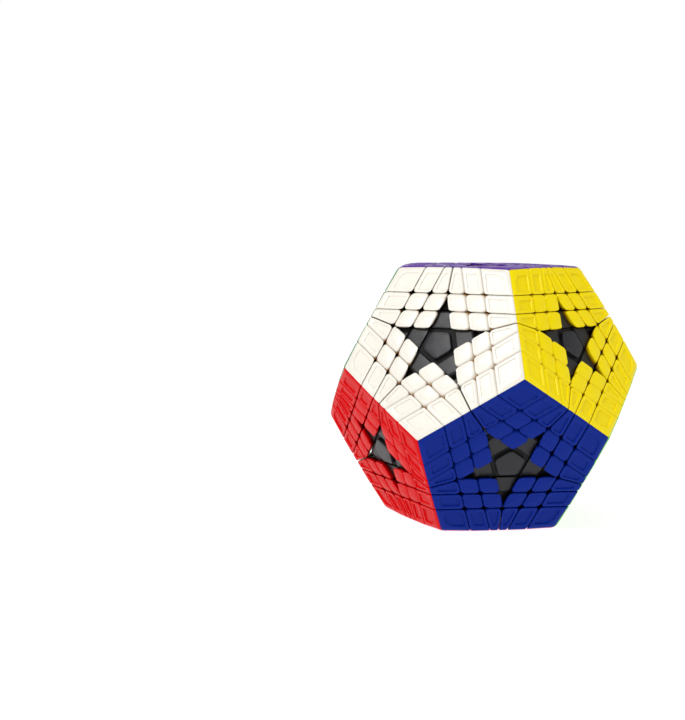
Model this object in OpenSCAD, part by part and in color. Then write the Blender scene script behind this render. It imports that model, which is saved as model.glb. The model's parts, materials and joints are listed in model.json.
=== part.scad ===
// Dodecahedron twisty puzzle with three turning layers behind each of its twelve faces.
// Millimetres, +Z up. The origin is the middle of the face that it stands on.
// All the sizes across a face are measured in the plane of that face, square to one of its edges.

/* [Face rows] */
// Width of the row of tiles next to a face's edge
outer_row = 11.1; // [9:0.1:14]
// Width of the second and the third row of tiles
inner_row = 7.2; // [6:0.1:9]
// Distance from the middle of a face to the end of its third row
star_core = 5.4; // [4.6:0.1:7]

/* [Tiles] */
// Thickness of a coloured tile shell
shell = 2.8; // [2:0.1:3.4]
// Gap between neighbouring pieces
piece_gap = 0.3; // [0.2:0.05:0.4]
// Gap between the tiles of one piece along their mitre
mitre_gap = 0.08; // [0.05:0.01:0.15]
// Gap between a tile shell and the foot it sits on
seat_gap = 0.04; // [0.02:0.01:0.1]
// Lean of a seam's side wall that lets the layers pass each other, in degrees
seam_lean = 12; // [10:1:20]

/* [Star recess] */
// Depth of the black star strips below the face
strip_drop = 1.8; // [1.2:0.1:2.6]
// Depth of the pieces at the star's points below the face
point_drop = 3.6; // [3:0.1:5]
// Depth of the cap's top below the face
cap_drop = 0.8; // [0.4:0.1:1.5]
// Thickness of the cap's plate
cap_plate = 1.8; // [1.4:0.1:2.4]
// Gap all around the cap's plate
cap_gap = 0.7; // [0.4:0.05:1]
// Radius of the cap's corners
cap_corner = 1.6; // [1:0.1:2.2]
// Clearance around the plug under the cap
plug_clearance = 0.2; // [0.1:0.05:0.4]
// Length of the plug under the cap
cap_plug_h = 2.4; // [1.5:0.1:3]

/* [Core and hubs] */
// Wall of the hollow core
core_wall = 3.2; // [2.4:0.1:4.5]
// Gap between the core and the layers that slide on it
core_gap = 0.4; // [0.3:0.05:0.8]
// Radius of a core post
post_r = 4.2; // [3.6:0.1:5]
// Height of a post above the core's flat
post_h = 1.8; // [1.2:0.1:2.4]
// Depth of a post inside the core
post_depth = 7; // [6:0.5:9]
// Radius of a hub's foot flange
flange_r = 8.6; // [7.5:0.1:9.5]
// Thickness of a hub's foot flange
flange_h = 2.2; // [1.6:0.1:3]
// Wall of a hub's round stalk around its well
stalk_wall = 1.8; // [1.4:0.1:2.4]
// Clearance in a hub's well around the screw's head and the spring
well_clearance = 0.5; // [0.4:0.05:0.7]
// Thickness of the seat that the spring presses on
seat_h = 3; // [2.4:0.1:4]

/* [Tension screw] */
// Radius of the screw's shank
shank_r = 1.2; // [1:0.05:1.4]
// Clearance around the shank where the hub turns on it
shank_clearance = 0.08; // [0.05:0.01:0.1]
// Length of thread in the core post
thread_h = 6; // [4:0.5:7]
// Radius of the screw's head
head_r = 2.7; // [2.4:0.05:2.9]
// Height of the screw's head
head_h = 1.8; // [1.4:0.1:2.2]
// Washer thickness
washer_h = 0.5; // [0.4:0.1:0.8]
// Outer radius of the spring
spring_r = 2.6; // [2.3:0.05:2.8]
// Thickness of the spring's wire
spring_wire = 0.6; // [0.5:0.05:0.7]
// Compressed length of the spring
spring_h = 4.5; // [3.5:0.1:5.5]

/* [Hidden] */
golden = (1 + sqrt(5)) / 2;
// Angle between the axes of two neighbouring faces, with its cosine and sine
axis_angle = acos(1 / sqrt(5));
axis_cos = cos(axis_angle);
axis_sin = sin(axis_angle);

// Face inradius, edge length, and the distances from the middle of the solid to its faces and edges
face_in = outer_row + 2 * inner_row + star_core;
face_h = golden * face_in;
edge_h = face_h / sqrt((1 + axis_cos) / 2);

// Cut planes along a face's axis: 0 is the face, 3 the deepest cut
cut = [
    face_h,
    face_h - axis_sin * outer_row,
    face_h - axis_sin * (outer_row + inner_row),
    face_h - axis_sin * (outer_row + 2 * inner_row)
];
half_gap = piece_gap / 2;
tiny = 0.000001;

// Radii that follow the screw and the spring: the hub's well, its stalk, and the plug under the cap
well_r = max(head_r, spring_r) + well_clearance;
stalk_r = well_r + stalk_wall;
cap_plug_r = well_r - plug_clearance;

// The twelve faces: colour name, colour, tilt of the axis from +Z, direction about +Z
TOP = 0;
BOTTOM = 11;
FACES = [
    ["purple", "#6a3fa0", 0, -90],
    ["white", "#f2efe6", axis_angle, -126],
    ["yellow", "#f5dc00", axis_angle, -54],
    ["orange", "#f07818", axis_angle, 18],
    ["lightblue", "#7cc4ea", axis_angle, 90],
    ["green", "#0a7a3c", axis_angle, 162],
    ["blue", "#0a2f9c", 180 - axis_angle, -90],
    ["lime", "#7fd21c", 180 - axis_angle, -18],
    ["grey", "#8d9094", 180 - axis_angle, 54],
    ["cream", "#f3e6a8", 180 - axis_angle, 126],
    ["red", "#d01218", 180 - axis_angle, 198],
    ["pink", "#ef8fb4", 180, 90]
];
FACE_IDS = [for (f = [0:11]) f];
BLACK = "#1b1b1d";
STEEL = "#9a9da2";

// The seven bodies that turn about +Z
BODIES = ["top_1", "top_2", "top_3", "middle", "bottom_3", "bottom_2", "bottom_1"];

function axis_of(f) =
    let (tilt = FACES[f][2], turn = FACES[f][3])
    [sin(tilt) * cos(turn), sin(tilt) * sin(turn), cos(tilt)];
AXES = [for (f = FACE_IDS) axis_of(f)];

function unit(v) = v / norm(v);
function touch(f, g) = abs(AXES[f] * AXES[g] - axis_cos) < 0.01;

// Corners of the solid as three faces that meet, and edges as two faces with the faces at their ends
CORNERS = [
    for (f = FACE_IDS) for (g = FACE_IDS) for (k = FACE_IDS)
        if (f < g && g < k && touch(f, g) && touch(g, k) && touch(f, k)) [f, g, k]
];
function ends_of(f, g) = [for (k = FACE_IDS) if (touch(f, k) && touch(g, k)) k];
EDGES = [
    for (f = FACE_IDS) for (g = FACE_IDS)
        if (f < g && touch(f, g)) concat([f, g], ends_of(f, g))
];

// A plane is [direction, distance]: the material lies where direction * point >= distance.
function inside(p, planes) = len([for (q = planes) if (q[0] * p < q[1] - tiny) 1]) == 0;

// The point where three planes meet, or undef where they don't
function meet(a, b, c) =
    let (bc = cross(b[0], c[0]), det = a[0] * bc)
    abs(det) < 0.0001 ? undef :
    (a[1] * bc + b[1] * cross(c[0], a[0]) + c[1] * cross(a[0], b[0])) / det;

// The corners of the convex solid that a list of planes encloses
function solid_points(planes) =
    let (n = len(planes))
    [
        for (i = [0:n - 3]) for (j = [i + 1:n - 2]) for (k = [j + 1:n - 1])
            let (p = meet(planes[i], planes[j], planes[k]))
            if (!is_undef(p) && inside(p, planes)) p
    ];

// Draws the solid that the planes enclose. They are measured from the middle of the puzzle.
module solid(planes) {
    points = solid_points(planes);
    n = len(points);
    if (n > 3)
        translate([0, 0, face_h])
            hull()
                polyhedron(points, [for (i = [0:n - 1]) [i, (i + 1) % n, (i + 2) % n]]);
}

// The two cut planes of layer 1, 2 or 3 behind face f. Layer 1 ends at the height that outer gives.
function layer(f, i, outer) = [
    [AXES[f], cut[i] + half_gap],
    [-AXES[f], i == 1 ? -outer : half_gap - cut[i - 1]]
];

// The side wall of a seam between two clusters, for the cluster next to face k. The seam crosses
// the edge between faces f and g. The wall holds the seam's line on f and leans towards k inwards.
function seam_wall(f, g, k) =
    let (
        far = [for (e = ends_of(f, g)) if (e != k) e][0],
        along = unit(AXES[k] - AXES[far]),
        middle = unit(AXES[f] + AXES[g]) * edge_h,
        direction = cos(seam_lean) * along + sin(seam_lean) * AXES[f]
    )
    [direction, direction * middle + half_gap];

// Does the seam across the edge between the other two faces pass cell [i, j, k] in its layer m?
// It runs through the outer two rows only: further in, the clusters are apart.
function meets_seam(cell, m) =
    let (others = [cell[(m + 1) % 3], cell[(m + 2) % 3]])
    cell[m] == 3 && min(others) == 1 && max(others) < 3;

// A tile shell: the outer skin of a cell on face corner[m], mitred against its other faces
function tile_planes(corner, cell, m) =
    let (f = corner[m])
    concat(
        [[AXES[f], face_h - shell], [-AXES[f], -face_h]],
        [
            for (s = [1, 2])
                let (g = corner[(m + s) % 3], i = cell[(m + s) % 3])
                each i == 1 ?
                    [[AXES[g], cut[1] + half_gap], [unit(AXES[f] - AXES[g]), mitre_gap / 2]] :
                    layer(g, i, face_h)
        ],
        [
            for (s = [1, 2])
                if (meets_seam(cell, (m + s) % 3))
                    seam_wall(f, corner[(m + 3 - s) % 3], corner[(m + s) % 3])
        ]
    );

// A foot or a hidden piece: the rest of a cell, under its shells
function foot_planes(corner, cell) = concat(
    [for (m = [0:2]) each layer(corner[m], cell[m], face_h - shell - seat_gap)],
    [
        for (m = [0:2]) if (meets_seam(cell, m))
            let (f = corner[(m + 1) % 3], g = corner[(m + 2) % 3])
            each [seam_wall(f, g, corner[m]), seam_wall(g, f, corner[m])]
    ]
);

// A black piece between two clusters, in layer i of face edge[0] and layer j of face edge[1]
function between_planes(edge, i, j) =
    let (drop = max(i, j) == 3 ? strip_drop : point_drop)
    concat(
        layer(edge[0], i, face_h - drop),
        layer(edge[1], j, face_h - drop),
        [for (k = [edge[2], edge[3]]) [-AXES[k], half_gap - cut[3]]]
    );

// The body that a piece turns with, from its faces and its layer behind each of them
function body_of(faces, layers) =
    let (
        up = [for (m = [0:len(layers) - 1]) if (faces[m] == TOP) layers[m]],
        down = [for (m = [0:len(layers) - 1]) if (faces[m] == BOTTOM) layers[m]]
    )
    len(up) > 0 ? str("top_", up[0]) :
    len(down) > 0 ? str("bottom_", down[0]) :
    "middle";

LAYERS = [1, 2, 3];
CELLS = [for (i = LAYERS) for (j = LAYERS) for (k = LAYERS) [i, j, k]];

// Puts its children on face f: +Z outwards, +X towards one of the face's corners, from the middle
module on_face(f) {
    tilt = FACES[f][2];
    upside_down = tilt > 90 ? 180 : 0;
    translate([0, 0, face_h])
        rotate([0, 0, FACES[f][3]])
            rotate([0, tilt, 0])
                rotate([0, 0, upside_down])
                    children();
}

// The tiles of one face that turn with one body
module tiles(f, body) {
    color(FACES[f][1])
        for (corner = CORNERS) for (m = [0:2]) if (corner[m] == f)
            for (cell = CELLS) if (cell[m] == 1 && body_of(corner, cell) == body)
                solid(tile_planes(corner, cell, m));
}

// The black feet under the tiles of one body
module feet(body) {
    color(BLACK)
        for (corner = CORNERS) for (cell = CELLS)
            if (min(cell) == 1 && body_of(corner, cell) == body)
                solid(foot_planes(corner, cell));
}

// The hidden pieces under the feet, and the black pieces between clusters, of one body
module inner_pieces(body) {
    color(BLACK) {
        for (corner = CORNERS) for (cell = CELLS)
            if (min(cell) > 1 && body_of(corner, cell) == body)
                solid(foot_planes(corner, cell));
        for (edge = EDGES) for (i = LAYERS) for (j = LAYERS)
            if (body_of(edge, [i, j]) == body)
                solid(between_planes(edge, i, j));
    }
}

// Heights along a face's axis, from the middle of the puzzle
core_h = cut[3] - core_gap;
post_top = core_h + post_h;
hub_base = post_top + seat_gap;
head_base = cut[1] + half_gap;
cap_top = face_h - cap_drop;
cap_base = cap_top - cap_plate;
head_top = cap_base - seat_gap;
well_floor = hub_base + flange_h + seat_h;
washer_base = well_floor + seat_gap + spring_h + seat_gap;
screw_head_base = washer_base + washer_h + seat_gap;
core_corner = core_h * sqrt(15 - 6 * sqrt(5));

// Distance from a face's axis to the cut behind its neighbours, at height h
function hub_reach(h) = (cut[3] - half_gap - h * axis_cos) / axis_sin;

function pentagon_r(reach) = reach / cos(36);

// A pentagon with its corners rounded, its first corner on +X
function rounded_pentagon(reach, corner) = [
    for (k = [0:4]) for (s = [-3:3])
        let (middle = (pentagon_r(reach - corner)) * [cos(72 * k), sin(72 * k)])
        middle + corner * [cos(72 * k + 12 * s), sin(72 * k + 12 * s)]
];

module ring_between(r_out, r_in, h) {
    difference() {
        cylinder(h = h, r = r_out, $fn = 64);
        translate([0, 0, -1])
            cylinder(h = h + 2, r = r_in, $fn = 64);
    }
}

// One hub: flange and stalk around the screw, and a five-sided head that the star strips go round
module hub(f) {
    on_face(f)
        difference() {
            union() {
                translate([0, 0, hub_base])
                    cylinder(h = flange_h, r = flange_r, $fn = 64);
                translate([0, 0, hub_base])
                    cylinder(h = head_base - hub_base + 1, r = stalk_r, $fn = 64);
                translate([0, 0, head_base])
                    cylinder(
                        h = head_top - head_base,
                        r1 = pentagon_r(hub_reach(head_base)),
                        r2 = pentagon_r(hub_reach(head_top)),
                        $fn = 5
                    );
            }
            translate([0, 0, well_floor])
                cylinder(h = head_top - well_floor + 1, r = well_r, $fn = 64);
            translate([0, 0, hub_base - 1])
                cylinder(h = well_floor - hub_base + 2, r = shank_r + shank_clearance, $fn = 64);
        }
}

// One cap: a five-sided plate with a round plug that closes the hub's well
module cap(f) {
    on_face(f) {
        translate([0, 0, cap_base])
            linear_extrude(cap_plate)
                polygon(rounded_pentagon(hub_reach(cap_top) - cap_gap, cap_corner));
        translate([0, 0, cap_base - cap_plug_h])
            cylinder(h = cap_plug_h + 0.5, r = cap_plug_r, $fn = 64);
    }
}

RING = [for (f = FACE_IDS) if (f != TOP && f != BOTTOM) f];

module hubs(faces) {
    color(BLACK)
        for (f = faces) hub(f);
}

module caps(faces) {
    color(BLACK)
        for (f = faces) cap(f);
}

// The core's outer or inner form: twelve flats at distance h
module core_form(h) {
    reach = 2 * core_corner;
    intersection() {
        for_faces(0, h, reach);
        for_faces(1, h, reach);
        for_faces(2, h, reach);
    }
}

// Half-spaces of four faces each
module for_faces(start, h, reach) {
    intersection_for(f = [start * 4:start * 4 + 3])
        on_face(f)
            translate([-reach, -reach, h - 2 * reach])
                cube([2 * reach, 2 * reach, 2 * reach]);
}

// Half of the core: upper with side = 1, lower with side = -1
module core_half(side) {
    reach = 2 * core_corner;
    color(BLACK)
        difference() {
            union() {
                difference() {
                    core_form(core_h);
                    core_form(core_h - core_wall);
                }
                for (f = FACE_IDS) if (side * cos(FACES[f][2]) > 0)
                    on_face(f)
                        translate([0, 0, core_h - post_depth])
                            cylinder(h = post_depth + post_h, r = post_r, $fn = 64);
            }
            translate([-reach, -reach, side > 0 ? face_h - 2 * reach : face_h - seat_gap])
                cube([2 * reach, 2 * reach, 2 * reach]);
            for (f = FACE_IDS) if (side * cos(FACES[f][2]) > 0)
                on_face(f)
                    translate([0, 0, core_h - post_depth - 1])
                        cylinder(h = post_depth + post_h + 2, r = shank_r + shank_clearance, $fn = 64);
        }
}

module tension_screws() {
    color(STEEL)
        for (f = FACE_IDS) on_face(f) {
            translate([0, 0, post_top - thread_h])
                cylinder(h = screw_head_base - post_top + thread_h + 0.5, r = shank_r, $fn = 64);
            translate([0, 0, screw_head_base])
                cylinder(h = head_h, r = head_r, $fn = 64);
        }
}

module spring_washers() {
    color(STEEL)
        for (f = FACE_IDS) on_face(f)
            translate([0, 0, washer_base])
                ring_between(head_r, shank_r + shank_clearance, washer_h);
}

module tension_springs() {
    color(STEEL)
        for (f = FACE_IDS) on_face(f)
            translate([0, 0, well_floor + seat_gap])
                ring_between(spring_r, spring_r - spring_wire, spring_h);
}

// The faces that have tiles on a body
function faces_on(body) = [
    for (f = FACE_IDS)
        if (
            len([
                for (corner = CORNERS) for (m = [0:2]) if (corner[m] == f)
                    for (cell = CELLS) if (cell[m] == 1 && body_of(corner, cell) == body) 1
            ]) > 0
        ) f
];
function tile_node(f, body) = str("tiles_", FACES[f][0], "_", body);
TILE_NODES = [for (body = BODIES) for (f = faces_on(body)) [tile_node(f, body), f, body]];

for (t = TILE_NODES)
    tiles(t[1], t[2]);
for (body = BODIES)
    union() {
        feet(body);
        inner_pieces(body);
    }
core_half(1);  // core_upper
core_half(-1);  // core_lower
tension_screws();
tension_springs();
spring_washers();
hubs([TOP]);  // hub_top
hubs([BOTTOM]);  // hub_bottom
hubs(RING);  // hubs_middle
caps([TOP]);  // cap_top_face
caps([BOTTOM]);  // cap_bottom_face
caps(RING);  // caps_middle
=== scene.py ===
# %% [markdown]
# # A twelve-sided twisty puzzle
# The puzzle is a dodecahedron. Every face carries five groups of nine coloured tiles around a sunk
# black star. On a real one three layers can turn behind every face. In this model the three at the
# top and the three at the bottom turn. This lesson dresses the finished mechanical model. The
# tiles, the black pieces and the caps are shaped again with the roundings and panels of the moulded
# parts. The springs, screws, washers, hubs and cores keep their plain shapes, and everything gets
# its plastic or metal.
#
# The mechanical model is the frame. It says where each piece is and which body it turns with, so
# nothing here is placed by eye.
# %% Load the frame
import json
import math
import bmesh
import bpy
from mathutils import Matrix, Vector

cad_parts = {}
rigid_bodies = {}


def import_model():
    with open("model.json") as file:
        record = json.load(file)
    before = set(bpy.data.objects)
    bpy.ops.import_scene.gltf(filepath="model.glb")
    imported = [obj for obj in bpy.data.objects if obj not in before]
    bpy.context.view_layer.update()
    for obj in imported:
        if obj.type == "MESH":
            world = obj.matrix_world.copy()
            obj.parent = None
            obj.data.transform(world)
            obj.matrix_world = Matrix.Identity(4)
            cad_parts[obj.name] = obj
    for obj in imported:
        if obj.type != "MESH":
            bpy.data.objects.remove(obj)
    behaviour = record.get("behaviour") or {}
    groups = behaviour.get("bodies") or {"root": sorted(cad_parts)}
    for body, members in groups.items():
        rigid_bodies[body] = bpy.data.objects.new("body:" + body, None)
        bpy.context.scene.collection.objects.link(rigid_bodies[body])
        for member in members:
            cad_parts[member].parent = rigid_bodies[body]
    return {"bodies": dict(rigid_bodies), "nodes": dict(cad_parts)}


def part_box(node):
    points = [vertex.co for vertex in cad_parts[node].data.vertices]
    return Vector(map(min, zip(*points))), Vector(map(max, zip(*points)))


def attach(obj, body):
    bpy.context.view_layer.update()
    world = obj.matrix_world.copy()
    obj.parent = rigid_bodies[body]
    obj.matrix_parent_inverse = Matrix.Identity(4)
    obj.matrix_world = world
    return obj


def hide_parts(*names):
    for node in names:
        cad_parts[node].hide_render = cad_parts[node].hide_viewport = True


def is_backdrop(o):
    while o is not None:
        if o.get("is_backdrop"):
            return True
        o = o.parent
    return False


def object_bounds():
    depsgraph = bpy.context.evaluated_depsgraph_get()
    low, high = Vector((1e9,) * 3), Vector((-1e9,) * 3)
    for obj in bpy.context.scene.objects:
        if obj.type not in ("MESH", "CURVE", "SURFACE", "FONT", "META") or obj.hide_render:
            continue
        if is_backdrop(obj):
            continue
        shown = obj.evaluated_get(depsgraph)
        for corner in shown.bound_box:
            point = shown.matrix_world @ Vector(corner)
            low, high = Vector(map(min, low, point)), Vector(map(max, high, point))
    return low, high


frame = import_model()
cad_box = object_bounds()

MM = 0.001
low, high = cad_box
CENTRE = Vector((0, 0, (low.z + high.z) / 2))
FACE_H = (high.z - low.z) / 2
print(f"{len(frame['nodes'])} nodes, {FACE_H / MM:.2f} mm from the middle to each face")

# %% [markdown]
# ## The twelve faces
# The face axes of a dodecahedron point at its top, its bottom and two rings of five. Writing each
# one as a tilt and a turn keeps the list short, and the colour names match the node names.
# %% Face axes
TILT = math.acos(1 / math.sqrt(5))
FACES = {
    "purple": (0, 0), "white": (TILT, -126), "yellow": (TILT, -54), "orange": (TILT, 18),
    "lightblue": (TILT, 90), "green": (TILT, 162), "blue": (math.pi - TILT, -90),
    "lime": (math.pi - TILT, -18), "grey": (math.pi - TILT, 54), "cream": (math.pi - TILT, 126),
    "red": (math.pi - TILT, 198), "pink": (math.pi, 0),
}


def axis_of(tilt, turn):
    flat = math.radians(turn)
    return Vector((math.sin(tilt) * math.cos(flat), math.sin(tilt) * math.sin(flat), math.cos(tilt)))


AXES = {name: axis_of(*face) for name, face in FACES.items()}
print("faces:", ", ".join(AXES))

# %% [markdown]
# ## Working on a copy of a node
# A node of the frame is loose triangles, so it can't be bevelled as it is. A copy with its doubles
# merged and its flat triangles joined gives back the clean solids: one closed island for each real
# piece. Each island moves to a small bmesh of its own, where an operator can't touch a neighbour.
# There it is in millimetres about the middle of the puzzle, because the operators' own tolerances
# are too coarse for something a few thousandths of a metre wide.
# %% Split a node into its solids
TOUCH = 0.002 * MM


def clean_copy(node):
    bm = bmesh.new()
    bm.from_mesh(frame["nodes"][node].data)
    bmesh.ops.remove_doubles(bm, verts=bm.verts, dist=TOUCH)
    bmesh.ops.dissolve_limit(
        bm, angle_limit=math.radians(0.6), verts=bm.verts, edges=bm.edges, use_dissolve_boundaries=False
    )
    bm.faces.index_update()
    bm.verts.index_update()
    return bm


def islands(bm):
    left = set(bm.faces)
    while left:
        found = {left.pop()}
        front = list(found)
        while front:
            near = {g for f in front for e in f.edges for g in e.link_faces} - found
            found |= near
            front = list(near)
        left -= found
        yield sorted(found, key=lambda f: f.index)


def lift_out(faces, place=lambda point: point):
    part = bmesh.new()
    corners = sorted({v for f in faces for v in f.verts}, key=lambda v: v.index)
    made = {v: part.verts.new(place(v.co)) for v in corners}
    for f in faces:
        part.faces.new([made[v] for v in f.verts])
    part.normal_update()
    return part


def solids_of(node):
    whole = clean_copy(node)
    parts = [lift_out(faces, lambda point: (point - CENTRE) / MM) for faces in islands(whole)]
    whole.free()
    return parts


# %% [markdown]
# One object stands for one node, so the solids are gathered again in one mesh and put back in
# place. Weighted normals let the flat areas stay flat and leave the bending of the light to the
# narrow bevels.
# %% Gather solids in one object
PLACE = Matrix.Translation(CENTRE) @ Matrix.Scale(MM, 4)


def append(bm, part):
    step = bpy.data.meshes.new("step")
    part.to_mesh(step)
    bm.from_mesh(step)
    bpy.data.meshes.remove(step)
    part.free()


def finish_piece(name, parts, body, *nodes):
    joined = bmesh.new()
    for part in parts:
        append(joined, part)
    bmesh.ops.transform(joined, matrix=PLACE, verts=joined.verts)
    for f in joined.faces:
        f.smooth = True
    mesh = bpy.data.meshes.new(name)
    joined.to_mesh(mesh)
    joined.free()
    mesh.set_sharp_from_angle(angle=math.radians(50))
    piece = bpy.data.objects.new(name, mesh)
    bpy.context.scene.collection.objects.link(piece)
    piece.modifiers.new("flat areas lead", "WEIGHTED_NORMAL").keep_sharp = True
    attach(piece, body)
    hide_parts(*nodes)
    return piece


def bevel(bm, geom, width, segments, affect="EDGES"):
    bmesh.ops.bevel(
        bm, geom=geom, offset=width, offset_type="OFFSET", segments=segments, profile=0.5,
        affect=affect, clamp_overlap=False, material=-1,
    )


# %% [markdown]
# ## The tiles
# A real tile is a moulded shell. Its walls follow the cuts between the layers, its free corners are
# round in plan, and its rim is rolled over. Where it meets the tile of the next face, the two share
# a mitre. The first two bevels work on the leaning side edges and on the rim, and they leave the
# mitres alone. A short side gets smaller corners, so they never meet.
# %% Which face is which
def top_face(part, axis):
    return max(part.faces, key=lambda f: (round(f.normal.dot(axis), 3), f.calc_center_median().dot(axis)))


def is_mitre(face, axis):
    # a mitre leans further back than a cut does, and the underside faces straight down
    return -0.9 < face.normal.dot(axis) < -0.49


def is_cut(face, axis):
    return -0.49 < face.normal.dot(axis) < 0.9


# %% [markdown]
# The frame keeps the turning layers a safe distance apart. The real tiles close up more at their
# faces, so each cut side moves out a little within the face's plane. Two neighbours take most of
# the gap between them at its narrowest, so it can't be much more. The same sum serves for a
# panel's outline later: two sides meet at a corner, each moves by its own amount, and this gives
# the corner's move.
# %% Slide the sides of a tile
def corner_move(m, n, a, b):
    c = m.dot(n)
    return ((a - b * c) * m + (b - a * c) * n) / (1 - c * c)


def flat_normal(face, axis):
    return (face.normal - face.normal.dot(axis) * axis).normalized()


def slide_sides(part, axis, cut_move, mitre_move, verts):
    moves = {}
    for v in verts:
        sides = [f for f in v.link_faces if abs(f.normal.dot(axis)) < 0.9]
        steps = [mitre_move if is_mitre(f, axis) else cut_move for f in sides]
        moves[v] = corner_move(*(flat_normal(f, axis) for f in sides), *steps)
    return moves


def widen(part, axis, amount):
    for v, move in slide_sides(part, axis, amount, 0, part.verts).items():
        bmesh.ops.translate(part, verts=[v], vec=move)
    part.normal_update()


# %% Round the corners in plan
def corner_width(v, width):
    return min([width] + [0.45 * e.calc_length() for e in v.link_edges])


def round_corners(part, axis, width, inner):
    top = top_face(part, axis)
    nearest = min(top.verts, key=lambda v: (v.co - v.co.dot(axis) * axis).length)
    corners = []
    for v in top.verts:
        sides = [e for e in v.link_edges if e not in top.edges]
        if len(sides) == 1 and all(is_cut(f, axis) for f in sides[0].link_faces):
            along = min(e.calc_length() for e in v.link_edges if e in top.edges)
            corners.append((sides[0], min(inner if v is nearest else width, 0.45 * along)))
    for side, size in corners:
        bevel(part, [side], size, 4)


# %% Roll the rim over
def roll_rim(part, axis, width):
    top = top_face(part, axis)
    bevel(part, [e for e in top.edges if not any(is_mitre(f, axis) for f in e.link_faces)], width, 3)
    return top_face(part, axis)


# %% [markdown]
# The plain tiles near the star are pillows. Two shrunken copies of the top face, each a little
# higher than the last, give the dome. Shrinking about the middle is safer than an inset here,
# because the short edges of a rounded corner can't cross.
# %% Crown a plain tile
def crown(part, top, axis, height):
    bmesh.ops.translate(part, verts=top.verts, vec=-height * axis)
    for size, rise in ((0.76, 0.62), (0.6, 0.38)):
        top = bmesh.ops.extrude_discrete_faces(part, faces=[top])["faces"][0]
        middle = top.calc_center_median()
        bmesh.ops.scale(part, verts=top.verts, vec=(size,) * 3, space=Matrix.Translation(-middle))
        bmesh.ops.translate(part, verts=top.verts, vec=rise * height * axis)


# %% [markdown]
# The tiles along the edges of the solid have a sunk panel. Its outline keeps an even distance from
# the tile's sides, its corners are round, and on a corner tile the one next to the corner of the
# solid is a wide arc. The outline is drawn first as a loose face, inset from the sharp tile, with
# its corners rounded one by one. Then the border round it is filled, and insets sink the floor.
# %% Outline of a panel
def panel_outline(part, axis, border, edge_border, small, wide):
    top = top_face(part, axis)
    slides = slide_sides(part, axis, -border, -edge_border, top.verts)
    moves = [(v.co.copy(), move) for v, move in slides.items()]
    part.verts.index_update()
    loose = lift_out([top])
    for v in loose.verts:
        v.co += next(move for spot, move in moves if (spot - v.co).length < 0.001)
    outermost = max(loose.verts, key=lambda v: v.co.length)
    corners = [(v, corner_width(v, wide if v is outermost else small)) for v in loose.verts]
    for v, size in corners:
        bevel(loose, [v], size, 6 if size > 1.5 else 4, "VERTICES")
    return loose


# %% Sink the panels
def sink_panel(part, top, outline, axis, drop, wall):
    before = set(part.faces)
    append(part, outline)
    panel = [f for f in part.faces if f not in before][0]
    ring = list(top.edges) + list(panel.edges)
    bmesh.ops.delete(part, geom=[top], context="FACES_ONLY")
    # two loops in one plane can be bridged with a twist, so the panel starts a hair lower
    bmesh.ops.translate(part, verts=panel.verts, vec=-0.06 * axis)
    border = bmesh.ops.bridge_loops(part, edges=ring)["faces"]
    part.normal_update()
    assert sum(f.normal.dot(axis) < 0.8 for f in border) < 8, "a twisted border"
    for width, depth in ((0.16, 0.08), (0.24, 0.44), (0.25, 0.38), (0.35, 0.1)):
        bmesh.ops.inset_individual(
            part, faces=[panel], thickness=width * wall, depth=-depth * drop, use_even_offset=True
        )


# %% [markdown]
# The edges and corners of the whole puzzle are rounded too, so that it is kind to the hands. The
# tiles are still flat there, so a few cuts beside each mitre give them points to bend with. Then
# every point that lies outside a smaller dodecahedron is drawn in: its distance from that solid
# becomes its height above it, which is what rolling a ball round the solid would leave. The ball
# is small along the edges and grows towards the corners.
# %% Round the edges and corners of the puzzle
EDGE_R = 1.9
CORNER_R = 4.6
CORNER_REACH = 4
BLEND_LENGTH = 9
AXIS_LIST = list(AXES.values())


def nearest_axes(p):
    return sorted(AXIS_LIST, key=lambda a: -a.dot(p))[:3]


def roll_ball(p):
    near = nearest_axes(p)
    from_corner = sum(FACE_H / MM - a.dot(p) for a in near)
    blend = min(1, max(0, (from_corner - CORNER_REACH) / BLEND_LENGTH))
    blend = blend * blend * (3 - 2 * blend)
    radius = CORNER_R + (EDGE_R - CORNER_R) * blend
    over = [a.dot(p) - (FACE_H / MM - radius) for a in near]
    for count in (3, 2):
        if over[count - 1] <= 0:
            continue
        rows = Matrix([[near[i].dot(near[j]) for j in range(count)] for i in range(count)])
        share = rows.inverted() @ Vector(over[:count])
        if min(share) >= 0:
            offset = sum((near[i] * share[i] for i in range(count)), Vector())
            return p - offset * (1 - over[0] / offset.length)
    return p


def round_puzzle_edges(part, axis, mitres, cuts):
    for spot, outwards in mitres:
        for distance in cuts:
            geom = list(part.verts) + list(part.edges) + list(part.faces)
            bmesh.ops.bisect_plane(
                part, geom=geom, dist=0.001, plane_co=spot - outwards * distance, plane_no=outwards
            )
    for v in part.verts:
        v.co = roll_ball(v.co)


# %% [markdown]
# A tile with two mitres sits at a corner of the solid and one with a single mitre along an edge.
# The two narrow tiles beside each seam have less border round their panels.
# %% Make the tiles of every node
WIDEN = 0.07
NARROW_AREA = 65
EDGE_BORDER = 2.6
SMALL_CORNER = 0.8
WIDE_CORNER = 3.4
EDGE_CUTS = (0.4, 0.8, 1.2)
CORNER_CUTS = EDGE_CUTS + (2.0, 2.8)


def panel_sizes(narrow):
    # the border along the cuts, how far the floor drops and how wide its wall is
    return (1.15, 0.45, 0.26) if narrow else (1.35, 0.5, 0.36)


def mitre_walls(part, axis):
    walls = [f for f in part.faces if is_mitre(f, axis)]
    return [(max(f.verts, key=lambda v: v.co.dot(axis)).co.copy(), flat_normal(f, axis)) for f in walls]


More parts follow.
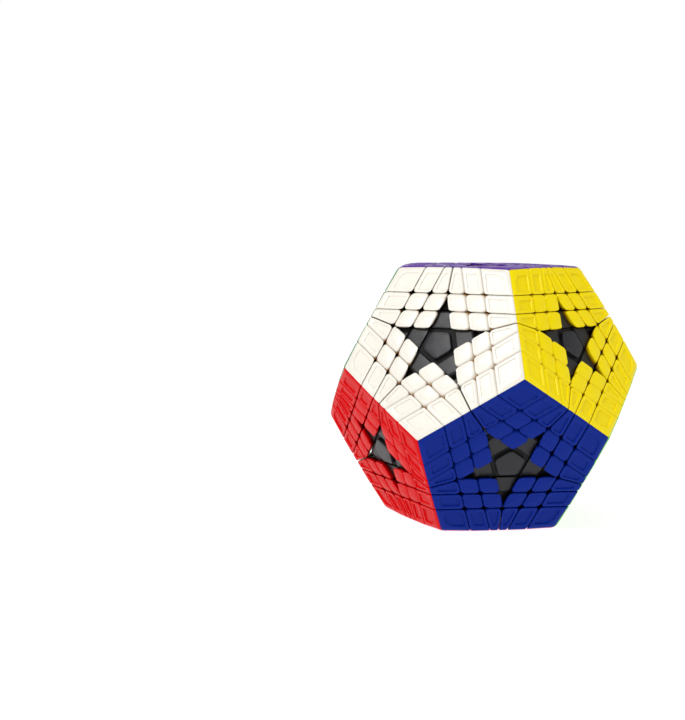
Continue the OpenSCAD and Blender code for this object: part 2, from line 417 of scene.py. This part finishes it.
def panelled(part, axis, mitres, narrow):
    border, drop, wall = panel_sizes(narrow)
    at_corner = len(mitres) == 2
    far_corner = WIDE_CORNER if at_corner else SMALL_CORNER
    outline = panel_outline(part, axis, border, EDGE_BORDER, SMALL_CORNER, far_corner)
    round_corners(part, axis, 1.7, 1.7)
    sink_panel(part, roll_rim(part, axis, 0.65), outline, axis, drop, wall)
    round_puzzle_edges(part, axis, mitres, CORNER_CUTS if at_corner else EDGE_CUTS)


def pillowed(part, axis):
    round_corners(part, axis, 1.8, 2.3)
    crown(part, roll_rim(part, axis, 0.9), axis, 0.22)


def make_tiles(name):
    colour, body = name.split("_", 2)[1:]
    axis = AXES[colour]
    parts = solids_of(name)
    for part in parts:
        mitres = mitre_walls(part, axis)
        narrow = top_face(part, axis).calc_area() < NARROW_AREA
        widen(part, axis, WIDEN)
        if mitres:
            panelled(part, axis, mitres, narrow)
        else:
            pillowed(part, axis)
        open_edges = sum(len(e.link_faces) != 2 for e in part.edges)
        if open_edges:
            print(f"{name}: {open_edges} open edges on a tile with {len(mitres)} mitres")
    return finish_piece(name.replace("tiles", "shells"), parts, body, name)


tile_nodes = sorted(n for n in frame["nodes"] if n.startswith("tiles_"))
tiles = {name: make_tiles(name) for name in tile_nodes}
print(len(tiles), "tile pieces,", sum(len(t.data.polygons) for t in tiles.values()), "faces")

# %% [markdown]
# ## The black pieces
# Each inner tile sits on a black foot. The two tiles of an edge piece share one foot, and so do the
# three of a corner piece. Other black pieces fill the space round and below the feet. Two of them
# show in every arm of a star: a strip beside the cap, and a deeper one at the point. Those get a
# soft roll round their tops, like the tiles. The rest get the small break that a mould leaves on
# every edge. These solids are convex, so a bevel should only take plastic away. Where several sharp
# edges meet it can throw a point outwards instead, which would catch on the next layer. So every
# bevelled piece is compared with the planes of its own solid, and stays sharp if it sticks out.
# That happens to thirty pieces, one under the middle of each edge of the puzzle. They are as deep
# as the star's points, and their tops are too narrow to roll.
# %% Make the feet and strips of a body
STAR_DEPTHS = (1.8, 3.6)


def shown_top(part):
    for axis in AXES.values():
        face = top_face(part, axis)
        depth = FACE_H / MM - face.calc_center_median().dot(axis)
        if face.normal.dot(axis) > 0.999 and any(abs(depth - known) < 0.1 for known in STAR_DEPTHS):
            return face
    return None


def sticks_out(part, walls):
    return any((v.co - spot).dot(outwards) > 0.01 for v in part.verts for spot, outwards in walls)


def softened(part):
    walls = [(f.verts[0].co.copy(), f.normal.copy()) for f in part.faces]
    soft = part.copy()
    top = shown_top(soft)
    if top:
        bevel(soft, list(top.edges), 0.7, 3)
    else:
        bevel(soft, list(soft.edges), 0.18, 1)
    if sticks_out(soft, walls):
        soft.free()
        return part, False
    part.free()
    return soft, True


def make_feet(body):
    node = "feet_" + body
    parts = solids_of(node)
    shown = sum(shown_top(part) is not None for part in parts)
    done = [softened(part) for part in parts]
    sharp = sum(not soft for part, soft in done)
    print(f"{body}: {len(parts)} black pieces, {shown} with a top at a star's depth, {sharp} left sharp")
    return finish_piece("black_pieces_" + body, [part for part, soft in done], body, node)


bodies = list(frame["bodies"])
feet = {body: make_feet(body) for body in bodies}

# %% [markdown]
# ## The caps
# Each cap is a five-sided plate with round corners. It starts as a circle of five points. Rounding
# its points, raising it, bevelling its rim and lifting the middle give the real cap's soft dome and
# its bright edge line. The plate is made once and set on each face with the face's own matrix.
# %% Frames of the faces and heights along an axis
def face_matrix(name):
    z = AXES[name]
    near = sorted(AXES.values(), key=lambda a: -a.dot(z))[1:6]
    beside = max((a for a in near if a is not near[0]), key=lambda a: a.dot(near[0]))
    x = near[0] + beside
    x = (x - x.dot(z) * z).normalized()
    return Matrix((x, z.cross(x), z)).transposed().to_4x4()


def top_height(node):
    # how far the top face's own solid in a node reaches above the middle
    points = [(v.co - CENTRE) / MM for v in frame["nodes"][node].data.vertices]
    return max(p.z for p in points if p.z > 0 and math.hypot(p.x, p.y) < 9)


RING = [name for name in FACES if name not in ("purple", "pink")]
cap_high = top_height("cap_top_face")
CAP_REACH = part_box("cap_top_face")[1].y / MM
print(f"a cap reaches {CAP_REACH:.2f} mm from its axis and tops out {FACE_H / MM - cap_high:.2f} mm down")


# %% Make a cap
CAP_PLATE = 1.8
CAP_DOME = 0.12


def cap_shape():
    bm = bmesh.new()
    bmesh.ops.create_circle(bm, cap_ends=True, segments=5, radius=CAP_REACH / math.cos(math.radians(36)))
    first = max(bm.verts, key=lambda v: v.co.y)
    turn = -math.atan2(first.co.y, first.co.x)
    bmesh.ops.rotate(bm, verts=bm.verts, matrix=Matrix.Rotation(turn, 3, "Z"))
    bevel(bm, list(bm.verts), 1.15, 6, "VERTICES")
    bmesh.ops.translate(bm, verts=bm.verts, vec=(0, 0, cap_high - CAP_PLATE))
    top = bmesh.ops.extrude_face_region(bm, geom=list(bm.faces))["geom"]
    raised = [g for g in top if isinstance(g, bmesh.types.BMVert)]
    bmesh.ops.translate(bm, verts=raised, vec=(0, 0, CAP_PLATE - CAP_DOME))
    bmesh.ops.recalc_face_normals(bm, faces=bm.faces)
    up = Vector((0, 0, 1))
    bevel(bm, list(top_face(bm, up).edges), 0.35, 4)
    face = top_face(bm, up)
    for size, rise in ((0.8, 0.5), (0.7, 0.3), (0.5, 0.2)):
        face = bmesh.ops.extrude_discrete_faces(bm, faces=[face])["faces"][0]
        bmesh.ops.scale(bm, verts=face.verts, vec=(size, size, 1))
        bmesh.ops.translate(bm, verts=face.verts, vec=(0, 0, rise * CAP_DOME))
    bmesh.ops.create_cone(
        bm, cap_ends=True, segments=32, radius1=2.8, radius2=3, depth=2.4,
        matrix=Matrix.Translation((0, 0, cap_high - CAP_PLATE - 1.2)),
    )
    return bm


def set_on(shape, faces):
    parts = []
    for name in faces:
        part = shape.copy()
        bmesh.ops.transform(part, matrix=face_matrix(name), verts=part.verts)
        parts.append(part)
    return parts


cap = cap_shape()
caps = [
    finish_piece("domed_cap_top", set_on(cap, ["purple"]), "top_1", "cap_top_face"),
    finish_piece("domed_cap_bottom", set_on(cap, ["pink"]), "bottom_1", "cap_bottom_face"),
    finish_piece("domed_caps_middle", set_on(cap, RING), "middle", "caps_middle"),
]
print(len(cap.faces), "faces in a cap")

# %% [markdown]
# ## Colour and nodes
# Colours are written as sRGB hex, the way a designer picks them, and turned to the linear values
# that a shader needs. One small function adds a node, sets it and wires it.
# %% Colour and node helpers
def linear(code):
    parts = [int(code[i:i + 2], 16) / 255 for i in (1, 3, 5)]
    return [p / 12.92 if p <= 0.04045 else ((p + 0.055) / 1.055) ** 2.4 for p in parts] + [1]


def darker(colour, share):
    return [c * share for c in colour[:3]] + [1]


def add(tree, kind, inputs=None, **settings):
    made = tree.nodes.new("ShaderNode" + kind)
    for name, value in settings.items():
        setattr(made, name, value)
    for socket, value in (inputs or {}).items():
        if isinstance(value, bpy.types.NodeSocket):
            tree.links.new(value, made.inputs[socket])
        else:
            made.inputs[socket].default_value = value
    return made


def new_material(name):
    material = bpy.data.materials.new(name)
    material.use_nodes = True
    material.node_tree.nodes.clear()
    return material, material.node_tree


# %% [markdown]
# ## Moulded ABS for the tiles
# The tiles are through-coloured ABS from a polished mould. That gives a clear but soft gloss, a
# very fine grain that breaks the reflections, and slow waves where the plastic shrank over the
# ribs behind. Down in the gaps the colour is painted darker and warmer: painted shade that stands
# in for the light bouncing between the walls.
# %% Tile plastic
def tile_plastic(colour, shade, painted_gap_shade, shine, glow, axis):
    material, tree = new_material("injection_moulded_abs_" + colour)
    place = add(tree, "TexCoord").outputs["Object"]
    height = add(tree, "VectorMath", {0: place, 1: CENTRE}, operation="SUBTRACT").outputs[0]
    height = add(tree, "VectorMath", {0: height, 1: axis}, operation="DOT_PRODUCT").outputs["Value"]
    # painted shade: below the tile tops the base colour fades to the darker, warmer gap colour, in place
    # of the shade and bounced light between the walls
    painted_gap_shade_mask = add(tree, "MapRange", {
        "Value": height, "From Min": FACE_H - 2.2 * MM, "From Max": FACE_H - 0.4 * MM,
    }, interpolation_type="SMOOTHSTEP").outputs["Result"]
    cloud = add(tree, "TexNoise", {"Vector": place, "Scale": 1 / (22 * MM), "Detail": 2}).outputs["Fac"]
    tint = add(tree, "Mix", {0: cloud, 6: darker(linear(shade), 0.93), 7: linear(shade)}, data_type="RGBA")
    base = add(tree, "Mix", {0: painted_gap_shade_mask, 6: linear(painted_gap_shade), 7: tint.outputs[2]}, data_type="RGBA").outputs[2]
    smear = add(tree, "TexNoise", {"Vector": place, "Scale": 1 / (5 * MM), "Detail": 4}).outputs["Fac"]
    rough = add(tree, "MapRange", {
        "Value": smear, "From Min": 0.3, "From Max": 0.7, "To Min": 0.24, "To Max": 0.36,
    })
    waves = add(tree, "TexNoise", {"Vector": place, "Scale": 1 / (6 * MM), "Detail": 1}).outputs["Fac"]
    grain = add(tree, "TexNoise", {"Vector": place, "Scale": 1 / (0.25 * MM), "Detail": 2}).outputs["Fac"]
    wavy = add(tree, "Bump", {"Height": waves, "Distance": 0.05 * MM, "Strength": 0.5}).outputs["Normal"]
    fine = add(tree, "Bump", {
        "Height": grain, "Distance": 0.004 * MM, "Strength": 0.5, "Normal": wavy,
    }).outputs["Normal"]
    shader = add(tree, "BsdfPrincipled", {
        "Base Color": base, "Roughness": rough.outputs["Result"], "Normal": fine, "IOR": 1.54,
        "Specular IOR Level": shine,
        "Subsurface Weight": glow, "Subsurface Radius": (1.0, 0.6, 0.4), "Subsurface Scale": 0.8 * MM,
    })
    add(tree, "OutputMaterial", {"Surface": shader.outputs[0]})
    return material


# each entry: tile colour, painted gap shade colour, shine, subsurface weight
SHADES = {
    "white": ("#f0ebe0", "#e0aa5c", 0.35, 0.1), "yellow": ("#f6de00", "#b88000", 0.12, 0.05),
    "blue": ("#022384", "#010c36", 0.08, 0.0), "red": ("#d40208", "#720106", 0.05, 0.0),
    "purple": ("#5f2c9e", "#351559", 0.12, 0.0), "green": ("#06803c", "#034a24", 0.12, 0.0),
    "orange": ("#f36a14", "#a03c08", 0.12, 0.0), "lightblue": ("#6fc0ea", "#2e7fb0", 0.2, 0.0),
    "lime": ("#6fd014", "#3a820c", 0.12, 0.0), "grey": ("#85898e", "#484b50", 0.2, 0.0),
    "cream": ("#f3e5a6", "#c0a55c", 0.25, 0.05), "pink": ("#f08cb2", "#b04f78", 0.2, 0.0),
}
for colour, (shade, painted_gap_shade, shine, glow) in SHADES.items():
    plastic = tile_plastic(colour, shade, painted_gap_shade, shine, glow, AXES[colour])
    for name, tile in tiles.items():
        if name.startswith(f"tiles_{colour}_"):
            tile.data.materials.append(plastic)
print(len(SHADES), "tile colours")

# %% [markdown]
# ## Black plastic
# The black pieces are filled nylon, which comes out of the mould satin. The caps are polished ABS.
# Both are very dark grey and not black, so the soft light still models their edges.
# %% Black plastic
def black_plastic(name, shade, low_gloss, high_gloss, grain_depth):
    material, tree = new_material(name)
    place = add(tree, "TexCoord").outputs["Object"]
    smear = add(tree, "TexNoise", {"Vector": place, "Scale": 1 / (4 * MM), "Detail": 4}).outputs["Fac"]
    rough = add(tree, "MapRange", {
        "Value": smear, "From Min": 0.3, "From Max": 0.7, "To Min": low_gloss, "To Max": high_gloss,
    }).outputs["Result"]
    base = add(tree, "Mix", {0: smear, 6: darker(linear(shade), 0.8), 7: linear(shade)}, data_type="RGBA")
    grain = add(tree, "TexNoise", {"Vector": place, "Scale": 1 / (0.3 * MM), "Detail": 2}).outputs["Fac"]
    bump = add(tree, "Bump", {"Height": grain, "Distance": grain_depth, "Strength": 0.6}).outputs["Normal"]
    shader = add(tree, "BsdfPrincipled", {
        "Base Color": base.outputs[2], "Roughness": rough, "Normal": bump, "IOR": 1.53,
        "Specular IOR Level": 0.3,
    })
    add(tree, "OutputMaterial", {"Surface": shader.outputs[0]})
    return material


black_satin = black_plastic("satin_moulded_nylon_black", "#202023", 0.3, 0.42, 0.01 * MM)
black_matt = black_plastic("unpolished_moulded_nylon_black", "#0c0c0d", 0.6, 0.75, 0.02 * MM)
black_gloss = black_plastic("polished_moulded_abs_black", "#212125", 0.34, 0.42, 0.004 * MM)
for piece in feet.values():
    piece.data.materials.append(black_satin)
for piece in caps:
    piece.data.materials.append(black_gloss)


# %% [markdown]
# ## Metal and the hidden pieces
# The screws and washers are zinc-plated steel and the springs are drawn wire. The core and hubs are
# unpolished nylon, because nobody sees them. A fine change in the metal's gloss stands for plating.
# These nodes keep the frame's own shapes and only get their materials.
# %% Finish the hidden nodes
def steel(name, rough):
    material, tree = new_material(name)
    place = add(tree, "TexCoord").outputs["Object"]
    drawn = add(tree, "TexNoise", {"Vector": place, "Scale": 1 / (0.4 * MM), "Detail": 3}).outputs["Fac"]
    gloss = add(tree, "MapRange", {
        "Value": drawn, "To Min": rough * 0.7, "To Max": rough * 1.3,
    }).outputs["Result"]
    shader = add(tree, "BsdfPrincipled", {
        "Base Color": linear("#a9abad"), "Metallic": 1.0, "Roughness": gloss,
    })
    add(tree, "OutputMaterial", {"Surface": shader.outputs[0]})
    return material


zinc = steel("zinc_plated_steel", 0.35)
wire = steel("drawn_spring_steel", 0.28)
for name, finish in {
    "core_upper": black_matt, "core_lower": black_matt, "hub_top": black_matt,
    "hub_bottom": black_matt, "hubs_middle": black_matt, "tension_screws": zinc,
    "spring_washers": zinc, "tension_springs": wire,
}.items():
    mesh = frame["nodes"][name].data
    mesh.materials.clear()
    mesh.materials.append(finish)

# %% [markdown]
# ## Floor, light and camera
# A white floor and a white cove copy a product table. The key light is small and stands high on the
# left, so it grazes the sunk panels and draws their walls. The lower faces fall off gently.
# %% Floor and world
floor_shape = bmesh.new()
bmesh.ops.create_grid(floor_shape, x_segments=1, y_segments=1, size=6)
floor_mesh = bpy.data.meshes.new("floor")
floor_shape.to_mesh(floor_mesh)
floor = bpy.data.objects.new("floor", floor_mesh)
bpy.context.scene.collection.objects.link(floor)
floor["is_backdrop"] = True
matt, tree = new_material("matt_white_paper")
place = add(tree, "TexCoord").outputs["Object"]
fibre = add(tree, "TexNoise", {"Vector": place, "Scale": 900, "Detail": 3})
tone = add(tree, "MapRange", {"Value": fibre.outputs["Fac"], "To Min": 0.34, "To Max": 0.38})
surface = add(tree, "BsdfPrincipled", {
    "Base Color": tone.outputs["Result"], "Roughness": 0.9,
    "Emission Color": (1, 1, 1, 1), "Emission Strength": 0.85,
})
add(tree, "OutputMaterial", {"Surface": surface.outputs[0]})
floor_mesh.materials.append(matt)

world = bpy.data.worlds.new("studio")
bpy.context.scene.world = world
world.use_nodes = True
sky = world.node_tree
sky.nodes.clear()
height = add(sky, "SeparateXYZ", {0: add(sky, "TexCoord").outputs["Generated"]}).outputs["Z"]
cove = add(sky, "MapRange", {
    "Value": height, "From Min": 0.2, "From Max": 0.45, "To Min": 1.0, "To Max": 0.26,
}, interpolation_type="SMOOTHSTEP").outputs["Result"]
backdrop = add(sky, "Background", {"Color": (1, 1, 1, 1), "Strength": cove})
add(sky, "OutputWorld", {"Surface": backdrop.outputs[0]})
bpy.context.scene.view_settings.view_transform = "Standard"


# %% Lights
def soft_light(name, place, size, watts):
    light = bpy.data.lights.new(name, "AREA")
    light.size = size
    light.energy = watts
    lamp = bpy.data.objects.new(name, light)
    lamp.location = place
    lamp.rotation_euler = (CENTRE - Vector(place)).to_track_quat("-Z", "Y").to_euler()
    bpy.context.scene.collection.objects.link(lamp)


soft_light("key", (-0.75, -0.55, 1.0), 0.35, 7.5)
soft_light("top", (0.2, 0.0, 1.4), 0.7, 5)
soft_light("fill", (1.1, -0.7, 0.5), 0.8, 1.5)

# %% Camera
lens = bpy.data.cameras.new("camera")
camera = bpy.data.objects.new("camera", lens)
bpy.context.scene.collection.objects.link(camera)
bpy.context.scene.camera = camera
lens.lens = 63.3
lens.sensor_width = 36
azimuth, elevation, roll = (math.radians(d) for d in (-8.4, 6.02, 0.42))
back = Vector((
    math.sin(azimuth) * math.cos(elevation), -math.cos(azimuth) * math.cos(elevation), math.sin(elevation)
))
level = Vector((0, 0, 1)).cross(back).normalized()
right = math.cos(roll) * level + math.sin(roll) * back.cross(level)
up = back.cross(right)
camera.matrix_world = (
    Matrix.Translation(CENTRE + 0.5061 * back - 0.0552 * right + 0.012 * up)
    @ Matrix((right, up, back)).transposed().to_4x4()
)
print("camera", [round(c, 4) for c in camera.matrix_world.translation])

# %% Size and finish
made_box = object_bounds()
for side, (a, b) in enumerate(zip(cad_box[1] - cad_box[0], made_box[1] - made_box[0])):
    print("xyz"[side], f"{a / MM:.2f} mm in the frame, {b / MM:.2f} mm now")
